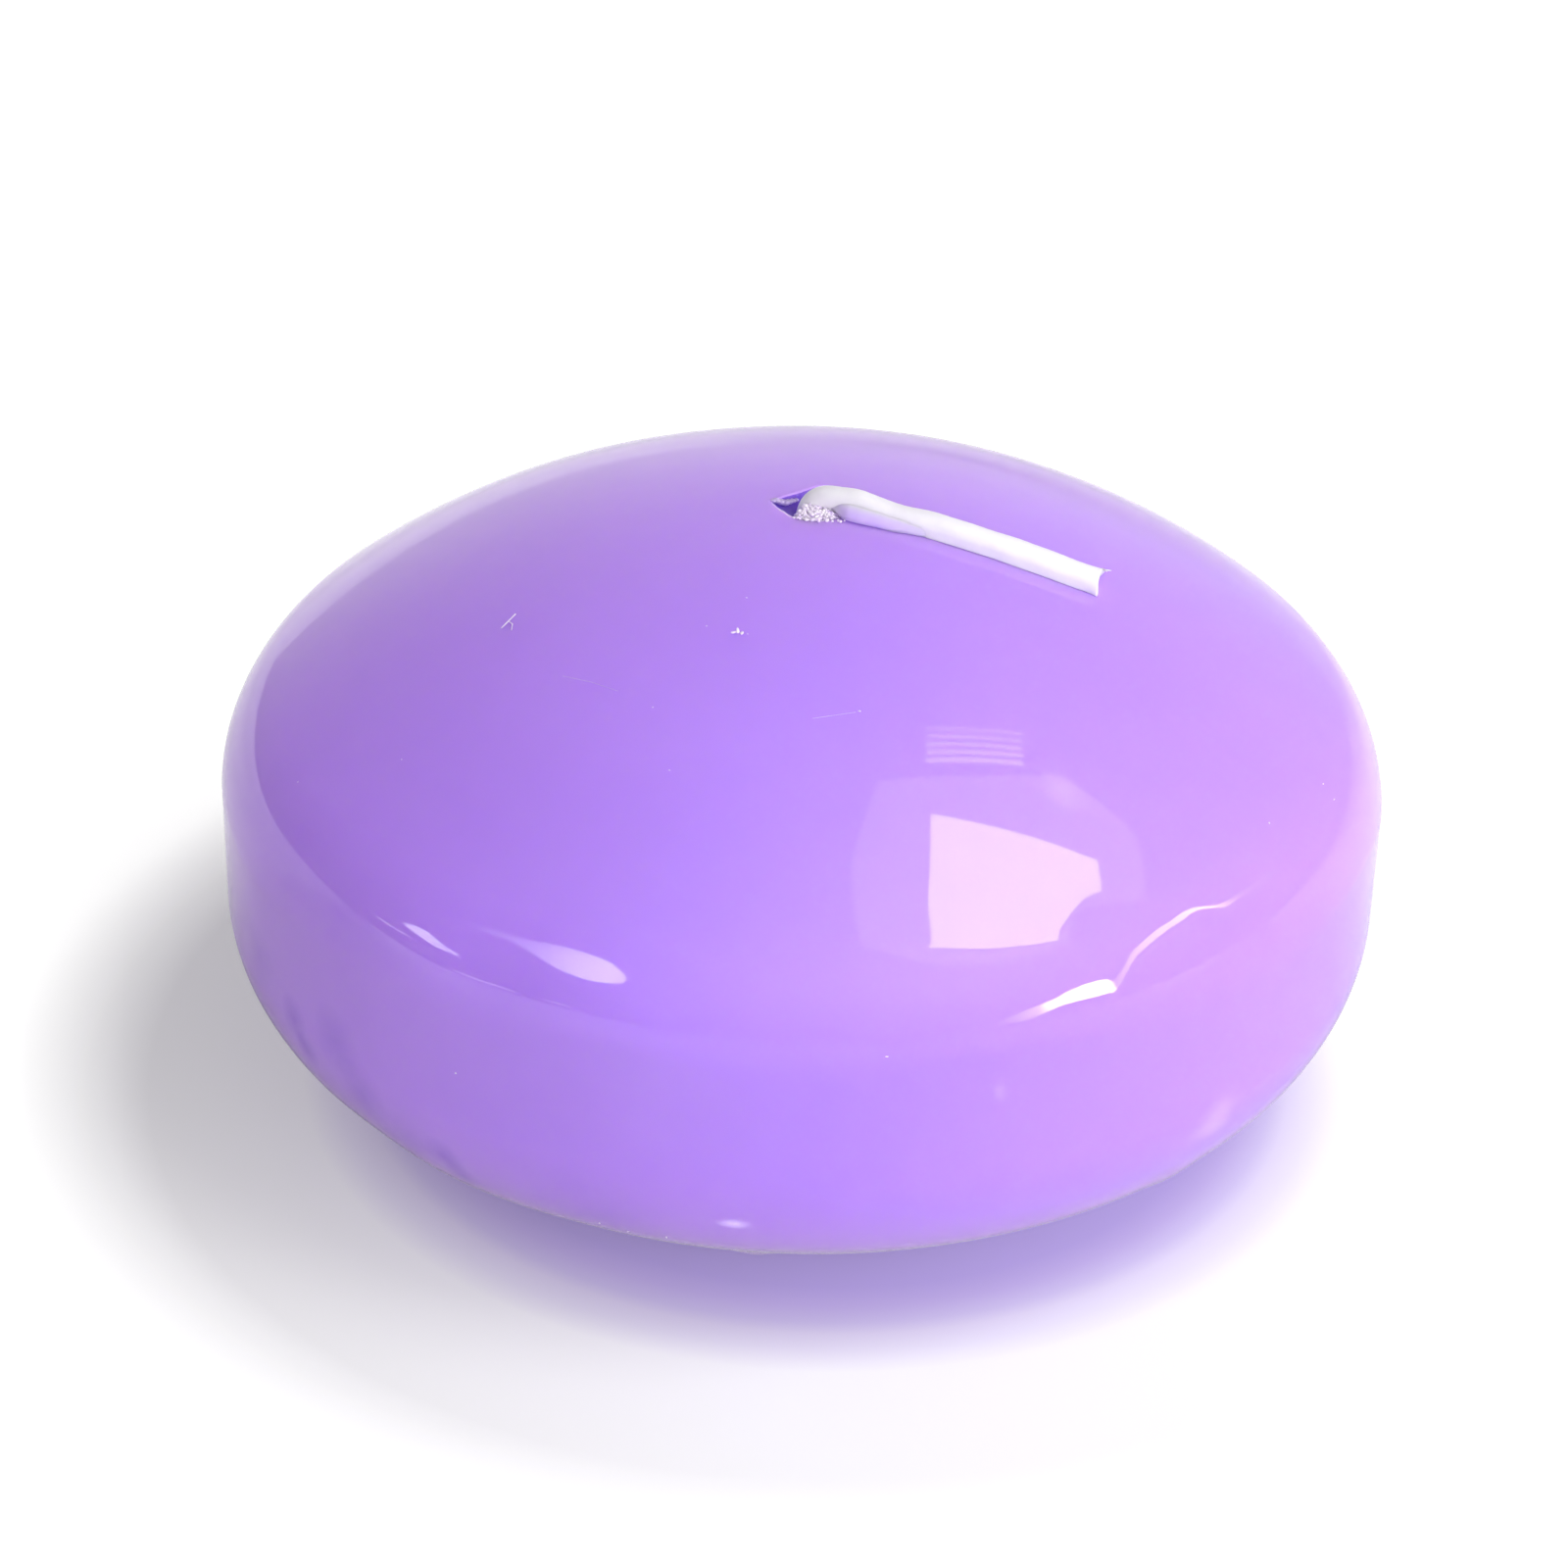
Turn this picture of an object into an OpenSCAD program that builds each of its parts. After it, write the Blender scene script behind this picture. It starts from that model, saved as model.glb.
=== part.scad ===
// Floating disc candle: a moulded wax lens with a short upright wall, a waxed cotton wick
// that leans over onto the dome, and the tinplate tab that holds the wick in the base.
// Millimetres, +Z up. The origin is the centre of the flat base.

/* [Wax body] */
// Diameter across the upright wall
body_d = 76.2; // [70:0.2:90]
// Height of the dome above the top of the wall
dome_h = 19.3; // [16:0.1:24]
// Height of the upright wall
wall_h = 6.7; // [3:0.1:12]
// Height of the bowl-shaped underside, from the base to the bottom of the wall
bowl_h = 14; // [13:0.5:18]
// Diameter of the flat base
base_d = 50; // [40:1:54]
// Radius of the rounded shoulder between dome and wall
shoulder_r = 9.4; // [4:0.2:12]
// Radius of the rounded corner between wall and underside
chine_r = 10.4; // [4:0.2:11]
// Radius of the edge round the flat base
base_edge_r = 1.2; // [0.5:0.1:1.6]

/* [Wick] */
// Diameter of the waxed cotton wick
wick_d = 1.75; // [1.2:0.05:2]
// Length of the wick that lies on the dome
wick_rest_l = 18.2; // [10:0.1:22]
// Radius of the bend where the wick leaves the wax, along its centre line
wick_bend_r = 1.6; // [1.4:0.1:2.4]
// How much the wick is swollen all round at its bend
wick_swell = 0.25; // [0.15:0.05:0.35]
// Length of the taper from the swollen bend down to the plain wick
wick_taper_l = 2; // [1.2:0.1:2.4]
// Radius of the sideways curve that the wick takes across the dome
wick_curl_r = 33.8; // [20:0.1:42]
// Direction in which the wick leans over, seen from above
wick_heading = -29; // [-180:1:180]
// Gap between the lying wick and the dome
wick_gap = 0.05; // [0.02:0.01:0.2]
// Gap round the wick in its hole through the wax and in the neck of the tab
wick_fit = 0.05; // [0.02:0.01:0.15]

/* [Well round the wick] */
// How far the well reaches past the end of the wick's bend
well_reach = 1.3; // [1:0.1:2.5]
// Depth of the well below the point where the wick begins to bend
well_step = 0.6; // [0.3:0.1:1.2]

/* [Wick tab] */
// Diameter of the tinplate disc
tab_d = 12.5; // [9:0.5:20]
// Thickness of the tinplate
tab_t = 0.3; // [0.2:0.05:0.5]
// Height of the neck above the underside of the disc
neck_h = 3.6; // [2.5:0.1:6]
// Radius inside the bend between disc and neck
neck_bend_r = 0.4; // [0.3:0.05:0.8]
// Depth of the disc's underside above the base
tab_inset = 0.5; // [0.2:0.1:1.5]
// Gap round the tab in the wax
tab_fit = 0.15; // [0.05:0.05:0.4]

/* [Hidden] */
$fn = 128;
eps = 0.01;
// Longer than any ray inside the section
far = 4 * body_d;

wall_r = body_d / 2;
wall_bottom_z = bowl_h;
wall_top_z = bowl_h + wall_h;
top_z = wall_top_z + dome_h;

// The rounded corners of the section, each as [radius from the axis, height, corner radius]
apex_corner = [0, top_z, 0];
shoulder_corner = [wall_r - shoulder_r, wall_top_z, shoulder_r];
chine_corner = [wall_r - chine_r, wall_bottom_z, chine_r];
base_corner = [base_d / 2, base_edge_r, base_edge_r];

// The dome and the underside are spheres that run smoothly into the rounded corners
dome_z = sphere_z(apex_corner, shoulder_corner);
dome_r = top_z - dome_z;
bowl_z = sphere_z(base_corner, chine_corner);
bowl_r = norm([chine_corner[0], bowl_z - chine_corner[1]]) + chine_r;

// Height of the centre, on the axis, of the sphere that holds two rounded corners and
// touches both from outside
function sphere_z(inner, outer) =
    let (
        rise = outer[1] - inner[1],
        widen = outer[2] - inner[2],
        slope = pow(rise, 2) - pow(widen, 2),
        k = pow(inner[0], 2) + pow(rise, 2) - pow(outer[0], 2) - pow(widen, 2),
        root = sqrt(pow(k, 2) + 4 * pow(outer[0], 2) * slope)
    )
    outer[1] + (sign(rise) * abs(widen) * root - k * rise) / (2 * slope);

// The wick's centre line: up the axis, round the bend, then along a circle on the sphere
// that lies just off the dome
lie_r = dome_r + wick_gap + wick_d / 2;
bend_end = asin(wick_bend_r / (lie_r - wick_bend_r));
bend_z = dome_z + sqrt(pow(lie_r, 2) - 2 * lie_r * wick_bend_r);
curl_lean = acos(wick_curl_r / lie_r);
curl_sweep = wick_rest_l / wick_curl_r * 180 / PI;
wick_root_r = wick_d / 2 + wick_swell;
// How far the stem, the taper and the lying length run on inside the bend
wick_lap = 0.3;
// How much slimmer the taper is, at each end, than the round that it runs into
wick_nip = 0.1;
curl_lap = wick_lap / wick_curl_r * 180 / PI;

// The well is the cap of a sphere, deep enough for the whole bend to stand clear of the wax
well_r = wick_bend_r + well_reach;
well_depth = top_z - bend_z + well_step;
well_ball_r = (pow(well_r, 2) + pow(well_depth, 2)) / (2 * well_depth);
well_ball_z = top_z - well_depth + well_ball_r;

wick_hole_r = wick_d / 2 + wick_fit;
neck_r = wick_hole_r + tab_t;
neck_pocket_r = neck_r + tab_fit;
tab_top_z = tab_inset + tab_t;
neck_top_z = tab_inset + neck_h;

// Solid corner of the section: a disc on its centre
module corner(c) {
    translate([c[0], c[1]]) circle(r = c[2]);
}

// Everything between the axis and the ray that runs from height z on the axis through the
// centre of a rounded corner, upwards or downwards
module wedge(z, c, up) {
    ray = [c[0], c[1] - z] / norm([c[0], c[1] - z]) * far;
    polygon([[0, z], [ray[0], z + ray[1]], [0, z + (up ? 2 : -2) * far]]);
}

// Half section of the wax: dome, shoulder, upright wall, lower corner, underside and base.
// Each arc ends on the line through the centres of the two arcs that meet there.
module wax_section() {
    intersection() {
        translate([0, dome_z]) circle(r = dome_r);
        wedge(dome_z, shoulder_corner, true);
        translate([0, wall_bottom_z]) square([wall_r, far]);
    }
    corner(shoulder_corner);
    translate([0, wall_bottom_z]) square([wall_r, wall_h]);
    corner(chine_corner);
    intersection() {
        translate([0, bowl_z]) circle(r = bowl_r);
        difference() {
            wedge(bowl_z, chine_corner, false);
            wedge(bowl_z, base_corner, false);
        }
        square([wall_r, wall_top_z]);
    }
    corner(base_corner);
    square([base_corner[0], wall_top_z]);
}

// Room in the wax for the tab: a shallow recess for the disc and a pocket for the neck
module tab_room() {
    translate([0, 0, -eps]) cylinder(d = tab_d + 2 * tab_fit, h = tab_top_z + eps);
    cylinder(r = neck_pocket_r, h = neck_top_z + tab_fit);
    translate([0, 0, tab_top_z])
        cylinder(r1 = neck_pocket_r + neck_bend_r, r2 = neck_pocket_r, h = neck_bend_r);
}

// The moulded wax, one solid, with the well and the hole that the wick stands in
module wax_body() {
    color([0.66, 0.50, 0.93])
    difference() {
        rotate_extrude() wax_section();
        translate([0, 0, well_ball_z]) sphere(r = well_ball_r);
        cylinder(r = wick_hole_r, h = top_z);
        tab_room();
    }
}

// The waxed cotton wick: up through the wax, round its swollen bend and along the dome. The
// stem, the taper and the lying length each begin a little way inside the bend.
module wick() {
    $fn = 48;
    color([0.95, 0.94, 0.97])
    rotate([0, 0, wick_heading]) {
        translate([0, 0, tab_inset]) cylinder(d = wick_d, h = bend_z + wick_lap - tab_inset);
        translate([wick_bend_r, 0, bend_z]) rotate([90, bend_end - 90, 0])
            rotate_extrude(angle = 90 + bend_end)
                translate([wick_bend_r, 0]) circle(r = wick_root_r);
        translate([0, 0, dome_z]) rotate([0, bend_end, 0]) {
            translate([-wick_lap, 0, lie_r]) rotate([0, 90, 0])
                cylinder(r1 = wick_root_r - wick_nip, r2 = wick_d / 2 - wick_nip, h = wick_taper_l);
            rotate([curl_lean, 0, 0]) rotate([-90, -90, 0])
                translate([0, 0, lie_r * sin(curl_lean)]) rotate([0, 0, -curl_lap])
                    rotate_extrude(angle = curl_lap + curl_sweep)
                        translate([wick_curl_r, 0]) circle(d = wick_d);
        }
    }
}

// Half section of the bend between the tab's disc and its neck
module tab_bend() {
    translate([neck_r + neck_bend_r, tab_top_z + neck_bend_r])
        intersection() {
            difference() {
                circle(r = neck_bend_r + tab_t);
                circle(r = neck_bend_r);
            }
            translate([-neck_bend_r - tab_t, -neck_bend_r - tab_t])
                square(neck_bend_r + tab_t);
        }
}

// The tinplate tab, stamped from one sheet: a flat disc with a neck drawn up round the wick
module wick_tab() {
    color([0.78, 0.78, 0.80])
    rotate_extrude() {
        translate([neck_r + neck_bend_r, tab_inset])
            square([tab_d / 2 - neck_r - neck_bend_r, tab_t]);
        tab_bend();
        translate([wick_hole_r, tab_top_z + neck_bend_r])
            square([tab_t, neck_h - tab_t - neck_bend_r]);
    }
}

wax_body();
wick();
wick_tab();
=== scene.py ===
import math
import random

import bmesh
import bpy
from mathutils import Matrix, Vector
from mathutils.bvhtree import BVHTree


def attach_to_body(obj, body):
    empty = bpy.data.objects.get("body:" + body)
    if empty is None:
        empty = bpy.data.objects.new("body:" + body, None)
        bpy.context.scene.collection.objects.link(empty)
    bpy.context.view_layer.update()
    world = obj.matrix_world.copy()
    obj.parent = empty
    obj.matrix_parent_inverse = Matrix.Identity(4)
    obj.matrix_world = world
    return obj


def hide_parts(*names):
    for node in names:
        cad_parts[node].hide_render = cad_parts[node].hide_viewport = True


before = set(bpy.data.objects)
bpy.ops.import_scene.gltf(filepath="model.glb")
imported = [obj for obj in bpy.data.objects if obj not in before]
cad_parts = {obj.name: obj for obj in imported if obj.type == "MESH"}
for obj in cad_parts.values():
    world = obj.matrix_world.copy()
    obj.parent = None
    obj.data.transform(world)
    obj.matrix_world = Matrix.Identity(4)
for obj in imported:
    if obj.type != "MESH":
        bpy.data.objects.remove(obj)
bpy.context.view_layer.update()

MM = 0.001

# The wax body: paraffin wax moulded as a shallow lens with a domed top, an upright wall and a
# bowl-shaped underside, then dipped in molten lilac wax. The dip leaves a glossy skin that is
# slightly uneven round the shoulder and stands away from the wick in a small well.
wall_r, wall_bottom_z, wall_top_z, apex_z = 38.1 * MM, 14 * MM, 20.7 * MM, 40 * MM
shoulder_r, chine_r, foot_edge_r, foot_r = 9.4 * MM, 10.4 * MM, 1.2 * MM, 25 * MM
well_r, well_depth = 2.9 * MM, 1.35 * MM
wick_hole_r, neck_pocket_r, neck_pocket_z = 0.925 * MM, 1.375 * MM, 4.25 * MM
recess_r, recess_z, recess_edge_r = 6.4 * MM, 0.8 * MM, 0.3 * MM
body_segments = 288
# The rim of the well has finer rings, over this much of the dome
rim_sweep = math.radians(3.2)


def sphere_between(inner, outer):
    """Height of the centre, on the axis, of the sphere that runs smoothly into two rounded corners."""
    rise, widen = outer[1] - inner[1], outer[2] - inner[2]
    slope = rise**2 - widen**2
    k = inner[0] ** 2 + rise**2 - outer[0] ** 2 - widen**2
    root = math.sqrt(k**2 + 4 * outer[0] ** 2 * slope)
    return outer[1] + (math.copysign(abs(widen), rise) * root - k * rise) / (2 * slope)


shoulder = (wall_r - shoulder_r, wall_top_z, shoulder_r)
chine = (wall_r - chine_r, wall_bottom_z, chine_r)
foot = (foot_r, foot_edge_r, foot_edge_r)
dome_z = sphere_between((0, apex_z, 0), shoulder)
dome_r = apex_z - dome_z
bowl_z = sphere_between(foot, chine)
rim_z = dome_z + math.sqrt(dome_r**2 - well_r**2)
well_sink = rim_z - apex_z + well_depth
well_ball_r = (well_r**2 + well_sink**2) / (2 * well_sink)
well_ball_z = apex_z - well_depth + well_ball_r

section = bmesh.new()
along = section.verts.layers.float.new("along")


def turn(vert, centre, angle, steps):
    """Carries a section on from its end vertex, round a centre, and gives its new end."""
    made = bmesh.ops.spin(
        section, geom=[vert], cent=(centre[0], 0, centre[1]), axis=(0, 1, 0), angle=angle, steps=steps
    )
    return made["geom_last"][0]


def run(vert, across, up, steps):
    """Carries a section straight on from its end vertex, and gives its new end."""
    for _ in range(steps):
        vert = bmesh.ops.extrude_vert_indiv(section, verts=[vert])["verts"][0]
        bmesh.ops.translate(section, verts=[vert], vec=(across / steps, 0, up / steps))
    return vert


def tilt(across, up):
    """Angle of a direction in the section, from straight up towards straight out."""
    return math.atan2(across, up)


rim_tilt = math.asin(well_r / dome_r)
shoulder_tilt = tilt(shoulder[0], shoulder[1] - dome_z)
chine_tilt = tilt(chine[0], chine[1] - bowl_z)
foot_tilt = tilt(foot[0], foot[1] - bowl_z)

rim = section.verts.new((well_r, 0, rim_z))
end = turn(rim, (0, dome_z), rim_sweep, 22)
end = turn(end, (0, dome_z), shoulder_tilt - rim_tilt - rim_sweep, 46)
end = turn(end, shoulder, math.pi / 2 - shoulder_tilt, 34)
end = run(end, 0, wall_bottom_z - wall_top_z, 14)
end = turn(end, chine, chine_tilt - math.pi / 2, 26)
end = turn(end, (0, bowl_z), foot_tilt - chine_tilt, 26)
end = turn(end, foot, math.pi - foot_tilt, 6)
end = run(end, recess_r + recess_edge_r - foot_r, 0, 16)
end = turn(end, (recess_r + recess_edge_r, recess_edge_r), math.pi / 2, 4)
end = run(end, 0, recess_z - recess_edge_r, 1)
end = run(end, neck_pocket_r + recess_edge_r - recess_r, 0, 6)
end = turn(end, (neck_pocket_r + recess_edge_r, recess_z + recess_edge_r), math.pi / 2, 4)
end = run(end, 0, neck_pocket_z - recess_z - recess_edge_r, 3)
end = run(end, wick_hole_r - neck_pocket_r, 0, 1)
well_floor_z = well_ball_z - math.sqrt(well_ball_r**2 - wick_hole_r**2)
end = run(end, 0, well_floor_z - neck_pocket_z, 12)
well_tilt = math.asin(well_r / well_ball_r) - math.asin(wick_hole_r / well_ball_r)
end = turn(end, (0, well_ball_z), -well_tilt, 20)
bmesh.ops.weld_verts(section, targetmap={end: rim})

# The distance along the section, from the well outwards, goes round with each of its points
point, edge, travelled = rim, None, 0.0
while True:
    point[along] = travelled / MM
    onward = [e for e in point.link_edges if e != edge]
    if edge is None:
        onward = [max(onward, key=lambda e: e.other_vert(point).co.x)]
    edge = onward[0]
    travelled += edge.calc_length()
    point = edge.other_vert(point)
    if point == rim:
        break

bmesh.ops.spin(
    section, geom=section.verts[:] + section.edges[:], cent=(0, 0, 0), axis=(0, 0, 1),
    angle=2 * math.pi, steps=body_segments, use_merge=True,
)
bmesh.ops.remove_doubles(section, verts=section.verts[:], dist=0.0005 * MM)
bmesh.ops.recalc_face_normals(section, faces=section.faces[:])


def bump(value, middle, width):
    """A smooth hump of height 1."""
    return math.exp(-(((value - middle) / width) ** 2))


def turned(angle, middle):
    """Degrees from one direction to another, the short way round."""
    return (angle - middle + 180) % 360 - 180


# The well's outline is drawn to a point on the left and crowds the wick at the back
well_outline = (
    (0, 2.8), (40, 3.0), (70, 2.9), (92, 1.95), (108, 1.6), (126, 1.5), (145, 1.62), (163, 1.9),
    (180, 2.45), (196, 2.25), (224, 2.2), (255, 2.6), (299, 2.95), (330, 2.9), (360, 2.8),
)
well_blend_r = 6 * MM


def well_reach(angle):
    """How far the well reaches from the wick in one direction."""
    angle %= 360
    for (a0, r0), (a1, r1) in zip(well_outline, well_outline[1:]):
        if a0 <= angle <= a1:
            t = (angle - a0) / (a1 - a0)
            return (r0 + (r1 - r0) * t) * MM
    return well_outline[0][1] * MM


def dome_height(r):
    """Height of the dome's surface at a distance from the axis."""
    return dome_z + math.sqrt(dome_r**2 - r**2)


for vert in section.verts:
    x, y, z = vert.co
    r, angle = math.hypot(x, y), math.degrees(math.atan2(y, x))
    if z > well_floor_z - 0.01 * MM and r < well_blend_r:
        reach = well_reach(angle)
        if r <= well_r + 0.001 * MM:
            part = (r - wick_hole_r) / (well_r - wick_hole_r)
            new_r = wick_hole_r + part * (reach - wick_hole_r)
            sink = (dome_height(r) - z) if part < 0.999 else 0.0
        else:
            part = (r - well_r) / (well_blend_r - well_r)
            new_r = reach + part * (well_blend_r - reach)
            sink = 0.0
        vert.co.x, vert.co.y = x / r * new_r, y / r * new_r
        vert.co.z = dome_height(new_r) - sink


# The dip has set in slow waves, strongest round the shoulder: each is where it lies round the
# body and along the section, how far it spreads each way, and how high it stands
skin_waves = (
    (-71, 39.5, 13, 4.5, 0.20), (-44, 38.5, 13, 4.5, -0.20), (-18, 40, 12, 5, 0.10),
    (-128, 39, 6, 3.5, 0.12), (-119.5, 39.5, 5, 4, -0.12), (-108, 39, 7, 4, 0.12),
    (-146, 42, 9, 6, -0.12), (-160, 50, 8, 8, 0.08), (-138, 54, 5, 7, -0.10), (-126, 58, 6, 6, 0.07),
    (-112, 62, 4, 4, -0.08), (-92, 47, 14, 7, -0.08), (20, 40, 16, 6, -0.10), (62, 39, 18, 6, 0.10),
    (104, 40, 15, 5, -0.12), (140, 39, 14, 6, 0.10), (172, 40, 12, 6, -0.10),
    (-94.5, 64.5, 2.2, 1.3, 0.22), (-48, 59, 2.5, 2.6, 0.16),
)
# Swells of its settling all the way round, how high they stand, and how they lean along the section
settle_round, settle_high, settle_lean = 5, 0.035, 9
# Where the waves begin and end along the section, and over how much they fade there
skin_start, skin_end, start_fade, end_fade = 8, 68.5, 10, 3
widest_r = wall_r - 0.01 * MM


def skin(angle, travel):
    """How far the skin stands out or in, in millimetres; nowhere beyond the wall's full radius."""
    height = settle_high * math.sin(math.radians(settle_round * angle) + travel / settle_lean)
    for middle, place, spread, reach, rise in skin_waves:
        height += rise * bump(turned(angle, middle), 0, spread) * bump(travel, place, reach)
    return height


section.normal_update()
dipped = [v for v in section.verts if skin_start < v[along] < skin_end]
shifts = [
    v.normal * skin(math.degrees(math.atan2(v.co.y, v.co.x)), v[along])
    * min(1, (v[along] - skin_start) / start_fade, (skin_end - v[along]) / end_fade) * MM
    for v in dipped
]
for vert, shift in zip(dipped, shifts):
    vert.co += shift
    r = math.hypot(vert.co.x, vert.co.y)
    if r > widest_r:
        inward = widest_r / r
        vert.co.x, vert.co.y = vert.co.x * inward, vert.co.y * inward


class Value:
    """A node's output. Sums and products with it add Math nodes to its material."""

    def __init__(self, finish, socket):
        self.finish, self.socket = finish, socket

    def math(self, operation, *terms):
        return self.finish.node("ShaderNodeMath", {"operation": operation}, dict(enumerate(terms)))

    def __add__(self, other):
        return self.math("ADD", self, other)

    def __sub__(self, other):
        return self.math("SUBTRACT", self, other)

    def __rsub__(self, other):
        return self.math("SUBTRACT", other, self)

    def __mul__(self, other):
        return self.math("MULTIPLY", self, other)

    def __truediv__(self, other):
        return self.math("DIVIDE", self, other)

    def __pow__(self, other):
        return self.math("POWER", self, other)

    __radd__, __rmul__ = __add__, __mul__


class Finish:
    """The node tree of one material, or of the world."""

    def __init__(self, owner):
        owner.use_nodes = True
        self.owner, self.tree = owner, owner.node_tree
        self.tree.nodes.clear()

    def node(self, kind, settings=None, inputs=None, output=0):
        """Adds a node with its settings, then the values or links of its sockets."""
        made = self.tree.nodes.new(kind)
        for name, setting in (settings or {}).items():
            if name == "stops":
                ramp = made.color_ramp.elements
                while len(ramp) < len(setting):
                    ramp.new(0.5)
                for stop, (place, colour) in zip(ramp, setting):
                    stop.position, stop.color = place, colour
            else:
                setattr(made, name, setting)
        for name, given in (inputs or {}).items():
            if isinstance(given, Value):
                self.tree.links.new(given.socket, made.inputs[name])
            else:
                made.inputs[name].default_value = given
        return Value(self, made.outputs[output]) if made.outputs else made

    def clamped(self, value, factor, shift):
        """A value times a factor plus a shift, held between 0 and 1."""
        return self.node(
            "ShaderNodeMath", {"operation": "MULTIPLY_ADD", "use_clamp": True},
            {0: value, 1: factor, 2: shift},
        )

    def distance(self, place, point):
        """How far a place is from a point."""
        return self.node(
            "ShaderNodeVectorMath", {"operation": "DISTANCE"}, {0: place, 1: point}, output=1
        )

    def mix(self, factor, first, second, blend="MIX"):
        """Mixes two colours."""
        return self.node(
            "ShaderNodeMix", {"data_type": "RGBA", "blend_type": blend},
            {0: factor, 6: first, 7: second}, output=2,
        )

    def surface(self, shader):
        """Ends the tree with a shader and gives back the material."""
        self.node("ShaderNodeOutputMaterial", None, {"Surface": shader})
        return self.owner


def grey(level):
    """A colour with one level in all its channels."""
    return (level, level, level, 1)


# Painted shade: the wax is darker over the floor of the well, which is the last of the section,
# standing in for the shade in the recess
well_floor_width = 3.2
well_floor_along = max(v[along] for v in section.verts) - well_floor_width
well_shade_colour, thin_colour = (0.20, 0.10, 0.60, 1), (0.30, 0.15, 0.74, 1)
# Where the lilac dip has run thin and the darker wax shows: each patch's place and radius in
# millimetres, and how much it shows
thin_patches = (
    ((-31.4, -21.5, 13.6), 1.7, 0.8), ((-30.6, -22.4, 12.0), 1.5, 0.7),
    ((-28.2, -25.4, 14.6), 2.6, 0.45), ((-26.6, -26.8, 11.6), 2.8, 0.55),
    ((-21.4, -30.6, 9.8), 1.7, 0.8), ((-20.2, -30.4, 8.2), 1.7, 0.75),
    ((-34.0, -17.2, 15.5), 2.2, 0.3), ((-24.0, -29.0, 9.5), 3.0, 0.35),
    ((-12.0, -34.0, 8.6), 5.0, 0.3),
)


def wax_finish(name, colour, deep_colour, patches=()):
    """Dipped wax: a clear gloss over a softer, slightly see-through body."""
    f = Finish(bpy.data.materials.new(name))
    place = f.node("ShaderNodeTexCoord", output=3)
    cloud = f.node("ShaderNodeTexNoise", None, {"Vector": place, "Scale": 55.0, "Detail": 3.0})
    mottle = f.node("ShaderNodeTexNoise", None, {"Vector": place, "Scale": 420.0, "Detail": 2.0})
    mask = f.node(
        "ShaderNodeValToRGB", {"stops": ((0.3, grey(0)), (0.72, grey(1)))},
        {"Fac": cloud * 0.75 + mottle * 0.25},
    )
    travel = f.node("ShaderNodeAttribute", {"attribute_name": "along"}, output=2)
    # painted shade over the floor of the well
    painted_well_shade = f.clamped(travel - well_floor_along, 0.6, 0.0)
    ripple = f.node("ShaderNodeTexNoise", None, {"Vector": place, "Scale": 260.0, "Detail": 1.5})
    grain = f.node("ShaderNodeTexNoise", None, {"Vector": place, "Scale": 3200.0, "Detail": 2.0})
    relief = f.node(
        "ShaderNodeBump", None, {"Strength": 1.0, "Distance": 0.00006, "Height": ripple + grain * 0.04}
    )
    thin = 0.0
    for centre, radius, depth in patches:
        away = f.distance(place, tuple(c * MM for c in centre))
        inside = f.clamped(1.3 - away / (radius * MM) - mottle * 0.6, 1.0, 0.0)
        thin = inside * depth + thin
    body = f.mix(thin, f.mix(mask, deep_colour, colour), thin_colour)
    return f.surface(f.node(
        "ShaderNodeBsdfPrincipled", None,
        {
            "Base Color": f.mix(painted_well_shade, body, well_shade_colour),
            "Roughness": 0.36 + mask * 0.08,
            "Normal": relief,
            "IOR": 1.44,
            "Subsurface Weight": 0.85,
            "Subsurface Radius": (1.0, 0.75, 1.0),
            "Subsurface Scale": 0.0025,
            "Specular IOR Level": 0.0,
            "Coat Weight": 1.0,
            "Coat Roughness": 0.035,
            "Coat IOR": 1.45,
        },
    ))


def dress(name, mesh_source, material, slot, *replaced):
    """Makes a piece from a bmesh: smooth, with its finish, riding on the candle."""
    mesh = bpy.data.meshes.new(name)
    mesh_source.to_mesh(mesh)
    mesh_source.free()
    mesh.shade_smooth()
    mesh.materials.append(material)
    piece = bpy.data.objects.new(name, mesh)
    bpy.context.scene.collection.objects.link(piece)
    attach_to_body(piece, "root")
    if replaced:
        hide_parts(*replaced)
    return piece


lilac_wax = wax_finish("lilac_wax", (0.466, 0.249, 0.896, 1), (0.439, 0.232, 0.871, 1), thin_patches)
wax_shell = dress("wax_shell", section, lilac_wax, "wax", "wax_body")


# The wick tab: a disc and a neck stamped from one piece of tinplate. It is pressed into the base
# and holds the foot of the wick.
def tinplate_finish():
    """Rolled tinplate with a fine drawn grain."""
    f = Finish(bpy.data.materials.new("tinplate"))
    place = f.node("ShaderNodeTexCoord", output=3)
    drawn = f.node("ShaderNodeMapping", None, {"Vector": place, "Scale": (40.0, 1.0, 1.0)})
    grain = f.node("ShaderNodeTexNoise", None, {"Vector": drawn, "Scale": 300.0, "Detail": 3.0})
    dull = f.node("ShaderNodeTexNoise", None, {"Vector": place, "Scale": 500.0, "Detail": 2.0})
    relief = f.node("ShaderNodeBump", None, {"Strength": 0.4, "Distance": 0.00002, "Height": grain})
    return f.surface(f.node(
        "ShaderNodeBsdfPrincipled", None,
        {
            "Base Color": f.mix(dull, (0.62, 0.62, 0.64, 1), (0.76, 0.76, 0.78, 1)),
            "Roughness": 0.22 + grain * 0.18,
            "Metallic": 1.0,
            "Normal": relief,
        },
    ))


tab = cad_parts["wick_tab"]
tab.data.materials.clear()
tab.data.materials.append(tinplate_finish())

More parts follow.
